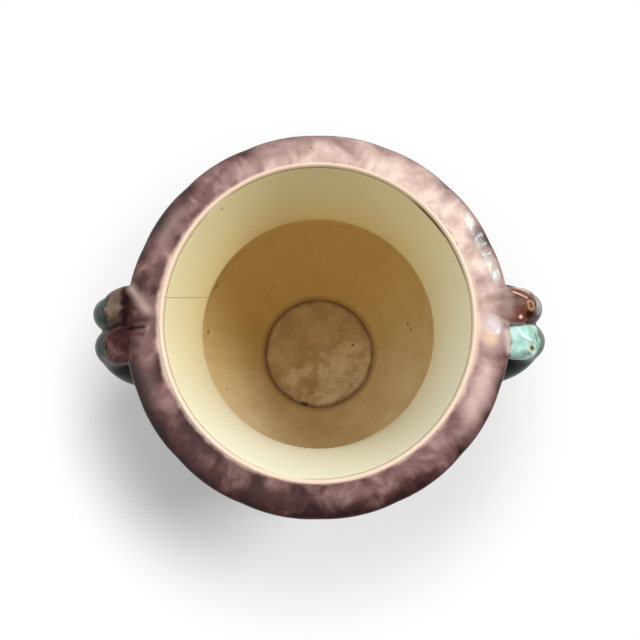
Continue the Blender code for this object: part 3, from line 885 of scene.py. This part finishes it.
def cream_glaze():
    material, place = new_material("cream_funnel_glaze")
    where = place.group("round_the_vessel", Streak=8, Rise=10)
    height = where["Height"]
    # Paler towards the front: painted light
    front = where["Front"].between(-0.7, 0.9)
    low = front.mix(paint(242, 224, 170), paint(248, 246, 224))
    high = front.mix(paint(242, 232, 188), paint(248, 250, 230))
    colour = height.between(0.212, 0.278).mix(low, high)
    colour.coat(place.noise(17, 1, 0.5).between(0.25, 0.8) * 0.14, (236, 220, 174))
    # The rounded edge, where the glaze is thin and pale, and pink from the mauve beside it
    colour.coat(height.between(0.2782, 0.279), (236, 210, 188))
    ragged = place.noise(160, 3).scaled(0.0012, -0.0006)
    colour.coat((where["Radius"] + ragged).between(0.0903, 0.0916) * 0.8, PEACH)
    # A thin brown line just under the edge, stronger and with a stain at the back right
    level = height + where["Around"].noise(1, 3, 0.6).scaled(0.0008, -0.0004)
    line = level.line(0.278, 0.0006, 0.0002) * place.noise(24, 2).between(0.32, 0.5)
    colour.coat(line * 0.65, (120, 92, 48))
    line = level.line(0.2776, 0.001, 0.0004) * place.near((0.074, 0.048, 0.277), 0.028, 0.008)
    colour.coat(line * 0.8, (120, 84, 40))
    stain = level.line(0.2773, 0.0014, 0.0005) * place.near((0.0675, 0.057, 0.277), 0.012, 0.006)
    colour.coat(stain * place.noise(110, 3).between(0.34, 0.52) * 0.9, (86, 54, 20))
    # One long hairline on the left
    slant = place.vectors('DOT_PRODUCT', (0, 1, 0.2))
    hair = place.noise(55, 3).scaled(0.002, slant).line(0.0681, 0.00026, 0.00006)
    hair = hair * place.near((-0.0835, 0.018, 0.246), 0.034, 0.002)
    colour.coat(hair * 0.5, (120, 100, 62))
    specks = pinholes(place, 60, 0.035, 0.18)
    colour.coat(specks * 0.8, (84, 62, 32))
    marked(colour, place, (70, 46, 30), 0.9, (-57.1, 66.8, 272.6, 0.6), (-78.8, -21.6, 227.1, 0.5))
    return fire(material, colour, skin(place, 0, specks + hair), 0.0003, Roughness=0.28)


def belly_glaze():
    material, place = new_material("belly_inside_glaze")
    where = place.group("round_the_vessel", Streak=7, Rise=10)
    clouds = place.noise(30, 4, 0.55).between(0.35, 0.7)
    # Paler towards the front and darker on the side away from the lit back right: painted light and shade
    colour = where["Front"].between(-0.8, 0.9).mix(paint(232, 202, 136), paint(246, 236, 204))
    colour.coat(where["Pale"].between(-0.1, -1, 0, 0.25), (214, 188, 138))
    colour.coat(clouds * 0.5, (224, 194, 136))
    colour.coat(where["Around"].noise(1, 4, 0.6).between(0.45, 0.75) * 0.25, (210, 174, 108))
    # Darker just above the floor, where the wall meets it: painted shade
    colour.coat(where["Height"].between(0.02, 0.0135) * 0.6, (150, 108, 50))
    specks = pinholes(place, 42, 0.035, 0.3)
    colour.coat(specks * 0.8, (92, 58, 22))
    marked(colour, place, (92, 60, 26), 0.75,
           (-88.6, 49.1, 140.6, 3), (-100, 11.8, 117.8, 2.4), (-87.6, -39.3, 89, 1.3),
           (84.6, 50.7, 157.7, 3), (89.2, 22.7, 75, 1.8), (91.5, 16.3, 77.7, 1.4),
           (-19.2, -79.3, 47.9, 1), (-46.8, 67.8, 49.6, 1.1))
    return fire(material, colour, skin(place, 0.6, specks), 0.0003,
                Roughness=clouds.between(0, 1, 0.34, 0.5))


def floor_glaze():
    material, place = new_material("floor_inside_glaze")
    where = place.group("round_the_vessel", Streak=5, Rise=10)
    # Paler towards the front: painted light
    pale = where["Front"].between(-0.8, 0.9).mix(paint(216, 188, 136), paint(240, 227, 200))
    colour = place.noise(55, 5, 0.6, 0.4).between(0.35, 0.68).mix(paint(192, 162, 114), pale)
    # A dark ring at the floor's edge: painted shade where the floor meets the wall
    rim = place.noise(70, 3).scaled(0.005, where["Radius"]).between(0.0575, 0.0625)
    colour.coat(rim * 0.85, (124, 84, 36))
    specks = pinholes(place, 110, 0.09, 0.25)
    colour.coat(specks * 0.7, (100, 66, 30))
    marked(colour, place, (60, 32, 10), 0.9, (-18, -55.5, 12, 2.2), (-14.8, -56.3, 12, 2),
           (38.3, 8.5, 11.8, 1.3))
    return fire(material, colour, skin(place, 0.8, specks), 0.0004, Roughness=0.5)


def bare_clay():
    material, place = new_material("bare_clay")
    colour = place.noise(60, 5, 0.6).between(0.3, 0.7).mix(paint(204, 186, 156), paint(176, 152, 120))
    colour.coat(place.noise(260, 4).between(0.5, 0.7) * 0.4, (110, 84, 56))
    return fire(material, colour, place.noise(700, 4, 0.6), 0.0003, Roughness=0.75)


def handle_glaze(side_name, thin):
    # Mauve from the lip runs out on to the tops. Each bank has its own glaze further out, the far rim is
    # grey-green, and all below is dark green. On ridges the glaze is thin and pale.
    material, place = new_material(side_name + "_handle_glaze")
    hollow = place.add("Attribute", (), "Fac", attribute_name="hollow")
    pool = hollow.between(0.05, 0.34)
    x, y, z = place.parts()
    ragged = place.noise(120, 3, 0.55, 0.5).scaled(0.007, -0.0035)
    width = abs(x)
    reach = width + ragged
    colour = place.group("mauve_mottle")["Color"]
    for bank, start, feather, tint, share in GLAZE_ZONES[side_name]:
        limits = (-0.0066, -0.0036) if bank > 0 else (0.0052, 0.007)
        on_bank = y.scaled(bank, ragged * 0.4).between(*limits)
        zone = reach.between(start / 1000, (start + feather) / 1000) * on_bank
        light = paint(*tint)
        dark = tuple(c * 0.66 for c in light[:3]) + (1,)
        mottled = place.noise(190, 3, 0.6).between(0.35, 0.7).mix(light, dark)
        colour = (zone * share).mix(colour, mottled)
    stroked(colour, place, RIGHT_STROKES if side_name == "right" else LEFT_STROKES)
    green = place.group("running_green", Pool=pool.scaled(0.4, 0.2))["Color"]
    colour = (z + ragged).between(0.27, 0.2645).mix(colour, green)
    # Near black under the lip, between the stems and the body: painted shade
    under = z.between(0.269, 0.261) * width.between(0.13, 0.119) * z.between(0.22, 0.242)
    colour.coat(under * 0.88, (9, 12, 10))
    # The red-brown runs down the outer bend and the back edge of the right back stem
    marked(colour, place, (44, 12, 4), 0.95, (129.8, -3, 264, 5.8))
    marked(colour, place, (122, 80, 62), 0.85, (115.6, 18.3, 268, 4))
    colour.coat(pool * 0.85, (34, 16, 16))
    colour.coat(hollow.between(-0.13, -0.38) * thin, (222, 208, 184))
    return fire(material, colour, skin(place), 0.0004, Roughness=sheen(place, 0.22, 0.32), IOR=1.5,
                Specular_IOR_Level=0.13)


GREY_GREEN = (58, 70, 62)
# Dark lines in creases, slots and slits: painted shade
CREASE_SHADE = (28, 2, 6)
# Glazes further out on a handle: bank, where it starts and its feather in mm from the axis, colour, share
GLAZE_ZONES = {
    "right": ((1, 109.2, 5, (104, 56, 42), 0.92), (1, 126.8, 2.2, (150, 156, 144), 0.9),
              (-1, 109.8, 1.4, (176, 222, 212), 0.95), (-1, 126.8, 3, (92, 112, 98), 0.94)),
    "left": ((1, 112, 4, (130, 110, 98), 0.78), (1, 120.6, 3, GREY_GREEN, 0.95),
             (-1, 120.6, 3, GREY_GREEN, 0.95)),
}
# Where the left handle is luted on, over lip and handle alike: a broad ridge painted pale, partly glaze and
# partly painted highlight, and painted shade in and beside a slot and along a crease
LEFT_JOINT_LIGHT_AND_SHADE = (
    (-107.6, 17.8, -97, 3.2, 1.6, 3.4, (190, 165, 150), 0.8),
    (-107, -1.2, -98.5, -1, 2.6, 3.4, (52, 30, 32), 0.85),
    (-107, -9.2, -99.5, -9.8, 2.4, 3, (70, 36, 40), 0.75),
    (-108.5, -6, -106, -5.8, 1.3, 0.9, CREASE_SHADE, 0.95),
    (-106, -5.7, -99, -5.2, 1.1, 1.1, CREASE_SHADE, 0.9),
    (-107.8, -8.5, -108.2, -21.5, 0.3, 0.6, CREASE_SHADE, 0.5))
# The same at the right, where the clay from the lip to the front stem is pale
RIGHT_JOINT = (
    (104.6, -10, 105.2, -18, 0.7, 0.9, (176, 142, 150), 0.6),
    (108, -11, 108.4, -21.5, 1.8, 2.2, (214, 198, 184), 0.75))
# Broad lighter and darker places on the lip
LIP_CLOUDS = (
    (84.1, -56.8, 95.4, -34.7, 4, 6, (216, 188, 178), 0.6),
    (-81.1, 61.1, -90.4, 46.1, 3, 5, (176, 144, 138), 0.5),
    (-98, -26.3, -89.6, -47.6, 3, 5, (130, 100, 96), 0.45),
    (-77.8, -65.2, -63.9, -78.9, 3.5, 5, (76, 46, 44), 0.5),
    (-34.7, -95.4, -17.6, -100, 3.5, 5, (72, 42, 40), 0.55),
    (-19.4, 99.6, -34.7, 95.4, 4, 5, (146, 114, 108), 0.85))
RIGHT_STROKES = RIGHT_JOINT + (
    (108, 12, 110, -1, 3, 4, (150, 128, 118), 0.5),
    (111, -7.2, 125, -5.4, 0.7, 0.6, (104, 98, 94), 0.85),
    (122.2, -0.4, 133, -4, 2.6, 1.4, (44, 10, 3), 0.97),
    (111.2, 15.4, 118, 12.6, 0.6, 0.7, (96, 58, 40), 0.85),
    (115, 16, 124, 13.2, 1, 1, (206, 182, 164), 0.75),
    # Painted highlight along the back tendril
    (112.8, 12.5, 121.6, 9.2, 0.3, 0.4, (246, 212, 198), 0.9),
    (116.5, -2, 116.6, -2, 1.1, 0.5, (232, 198, 186), 0.85),
    (123, 6, 123.4, 3.8, 2.2, 0.7, (190, 150, 112), 0.7),
    (123, 5.8, 123.3, 4, 1.2, 0.5, (92, 60, 26), 0.9),
    (111.2, -10, 112.2, -15, 1.6, 2, (206, 238, 232), 0.6),
    (122.5, -8.5, 125.5, -12, 1.8, 2, (146, 168, 142), 0.65),
    (125.6, -12, 127.2, -18, 0.7, 1, (66, 94, 82), 0.8),
    # Painted highlight along the front tendril
    (114.8, -9, 117.2, -12.8, 0.6, 0.5, (232, 248, 240), 0.85),
    (117.2, -12.8, 122.1, -15.7, 0.6, 0.5, (232, 248, 240), 0.85),
    (121.5, -22.5, 118, -22.8, 1, 2, (104, 74, 50), 0.7),
    (123, -19.7, 123.1, -19.7, 2.7, 0.6, (202, 208, 176), 0.8),
    (123, -19.7, 123.1, -19.7, 1.4, 0.7, (60, 66, 56), 0.95))
LEFT_STROKES = LEFT_JOINT_LIGHT_AND_SHADE + (
    (-116, 1, -118, -2, 2, 2.6, (78, 62, 52), 0.7),
    # A V-shaped crease between the banks, in painted shade
    (-124.6, -6.8, -117, -4, 0.9, 0.9, CREASE_SHADE, 0.95),
    (-117, -4, -110.6, -1.6, 1.5, 0.9, CREASE_SHADE, 0.97),
    (-110.6, -1, -110.8, 4.5, 1.7, 1, CREASE_SHADE, 0.97),
    (-110.8, 4.5, -111.8, 8.5, 1, 1.4, CREASE_SHADE, 0.7),
    (-114.5, -0.3, -119, -1, 1.4, 1.8, (70, 54, 46), 0.8),
    (-122.2, 2, -123.2, -1, 1.4, 1.6, (40, 42, 36), 0.7),
    # A slit on the front lobe, in painted shade
    (-121.8, -13.5, -121.2, -16.6, 0.7, 0.8, CREASE_SHADE, 0.85))


# Glaze on the pieces
def wear(piece, material):
    piece.data.materials.clear()
    piece.data.materials.append(material)


def dress(piece, levels, glaze, slot, *nodes, second=None, wanted=None):
    # Smooths and glazes a piece, with a second glaze on the faces wanted, and sets it in the frame
    only(piece)
    if levels:
        use_modifier(piece, 'SUBSURF', levels=levels, render_levels=levels)
    bpy.ops.object.shade_smooth()
    wear(piece, glaze)
    if second:
        piece.data.materials.append(second)
        for face in piece.data.polygons:
            if wanted(face.center):
                face.material_index = 1
    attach(piece, "root")
    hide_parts(*nodes)
    return piece


def build_vase():
    make_polar_group()
    make_speck_group()
    make_stroke_group()
    make_skin_group()
    make_mauve_group()
    make_green_group()
    make_outside_group()
    running = outside_glaze()
    clay = bare_clay()
    lip = dress(make_lip(), 2, lip_glaze(), "mauve_glaze", "lip")
    dress(make_collar(), 2, cream_glaze(), "cream_glaze", "collar", second=running,
          wanted=lambda c: c.z < 0.2672 and from_axis(c) > funnel_radius(c.z) + 0.0045)
    body = dress(make_body(), 1, running, "body_glaze", "body", second=belly_glaze(),
                 wanted=lambda c: from_axis(c) < body_radius(c.z) - 0.0035)
    dress(make_floor_disc(), 1, floor_glaze(), "floor_glaze", "floor_disc", second=clay,
          wanted=lambda c: c.z < FLOOR_UNDERSIDE + 0.001)
    dress(turned("foot_ring_clay", FOOT_OUTLINE), 1, clay, "bare_clay", "foot_ring")
    for side_name, side, thin in (("right", 1, 0.1), ("left", -1, 0.0)):
        nodes = [side_name + bank + part for bank in ("_back", "_front")
                 for part in ("_stem", "_root", "_bead", "_tendril")]
        handle = make_handle(side_name, side, lip, body)
        dress(handle, 0, handle_glaze(side_name, thin), "green_glaze", *nodes)


# Studio. For the camera the paper glows to white around the shadow, which lies a little to the front left.
PAPER = (0.74, 0.745, 0.755, 1.0)
GLOW_SHIFT = (0.012, 0.01, 0.0)
GLOW_START = 0.202
GLOW_END = 0.31
WARM_AIR = (1.0, 0.988, 0.97, 1.0)
WHITE = (1.0, 1.0, 1.0, 1.0)
BRIGHT_WAY = (-0.35, 0.6, 0.72)
LAMP_DISTANCE = 3.0
CAMERA_PLACE = Vector((0.00119, -0.04322, 0.55))
CAMERA_TILT = 0.14858
CAMERA_TURN = radians(-0.75)
CAMERA_LENS = 27.06


def make_paper():
    deselect()
    bpy.ops.mesh.primitive_plane_add(size=12.0, location=(0, 0, 0))
    floor = bpy.context.object
    floor.name = "studio_floor"
    material, place = new_material("studio_paper")
    nodes = material.node_tree.nodes
    nodes.remove(nodes["Principled BSDF"])
    matte = place.add("BsdfDiffuse", (("Color", PAPER),))
    glow = place.add("Emission")
    far = place.vectors('ADD', GLOW_SHIFT).vectors('LENGTH').between(GLOW_START, GLOW_END)
    seen = place.add("LightPath", (), "Is Camera Ray")
    paper = place.add("MixShader", enumerate((far * seen, matte, glow)))
    feed(nodes["Material Output"].inputs["Surface"], paper)
    wear(floor, material)


def make_air():
    world = bpy.data.worlds.new("studio_air")
    bpy.context.scene.world = world
    world.use_nodes = True
    air = world.node_tree.nodes["Background"].inputs
    way = Signal(world.node_tree.nodes.new("ShaderNodeTexCoord").outputs["Generated"])
    seen = way.add("LightPath", (), "Is Camera Ray")
    feed(air["Color"], seen.mix(WARM_AIR, WHITE))
    bright = way.vectors('DOT_PRODUCT', BRIGHT_WAY).between(-0.3, 1.0, 0.23, 0.82)
    feed(air["Strength"], way.add("Mix", ((0, seen), (2, bright), (3, 1.0)), data_type='FLOAT'))


def lamp(name, top, bottom, wide, power, colour):
    # A long lamp, from one azimuth and elevation down to another
    ends = [Vector((cos(radians(a)) * cos(radians(e)), sin(radians(a)) * cos(radians(e)), sin(radians(e))))
            * LAMP_DISTANCE for a, e in (top, bottom)]
    back = ((ends[0] + ends[1]) / 2).normalized()
    along = ends[0] - ends[1]
    up = (along - back * along.dot(back)).normalized()
    deselect()
    bpy.ops.object.light_add(type='AREA', location=(ends[0] + ends[1]) / 2 + Vector((0, 0, 0.2)))
    light = bpy.context.object
    light.name = name
    light.data.shape = 'RECTANGLE'
    light.data.size = wide
    light.data.size_y = along.length
    light.data.energy = power
    light.data.color = colour
    light.rotation_euler = Matrix((up.cross(back), up, back)).transposed().to_euler()
    return light


def make_studio():
    make_paper()
    make_air()
    lamp("skylight", (29, 60), (29, 41), 1.0, 68.0, (1.0, 0.988, 0.975)).visible_glossy = False
    lamp("far_window", (145, 61), (145, 40), 1.1, 9.0, (0.93, 0.97, 1.0)).visible_glossy = False
    # Three panes that only show as gleams in the glaze
    for number, top, bottom in ((1, (40, 53), (39, 24)), (2, (32, 53), (30, 24)), (3, (25, 53), (22, 24))):
        lamp("pane_" + str(number), top, bottom, 0.07, 9.0, (0.5, 1.0, 0.97)).visible_diffuse = False
    deselect()
    x, y, z = CAMERA_PLACE
    across, along = cos(CAMERA_TURN), sin(CAMERA_TURN)
    bpy.ops.object.camera_add(location=(x * across - y * along, x * along + y * across, z),
                              rotation=(CAMERA_TILT, 0, CAMERA_TURN))
    camera = bpy.context.object
    camera.data.sensor_width = 36.0
    camera.data.lens = CAMERA_LENS
    camera.data.clip_start = 0.01
    camera.data.clip_end = 100.0
    bpy.context.scene.camera = camera
    bpy.context.scene.view_settings.view_transform = 'Standard'


build_vase()
make_studio()
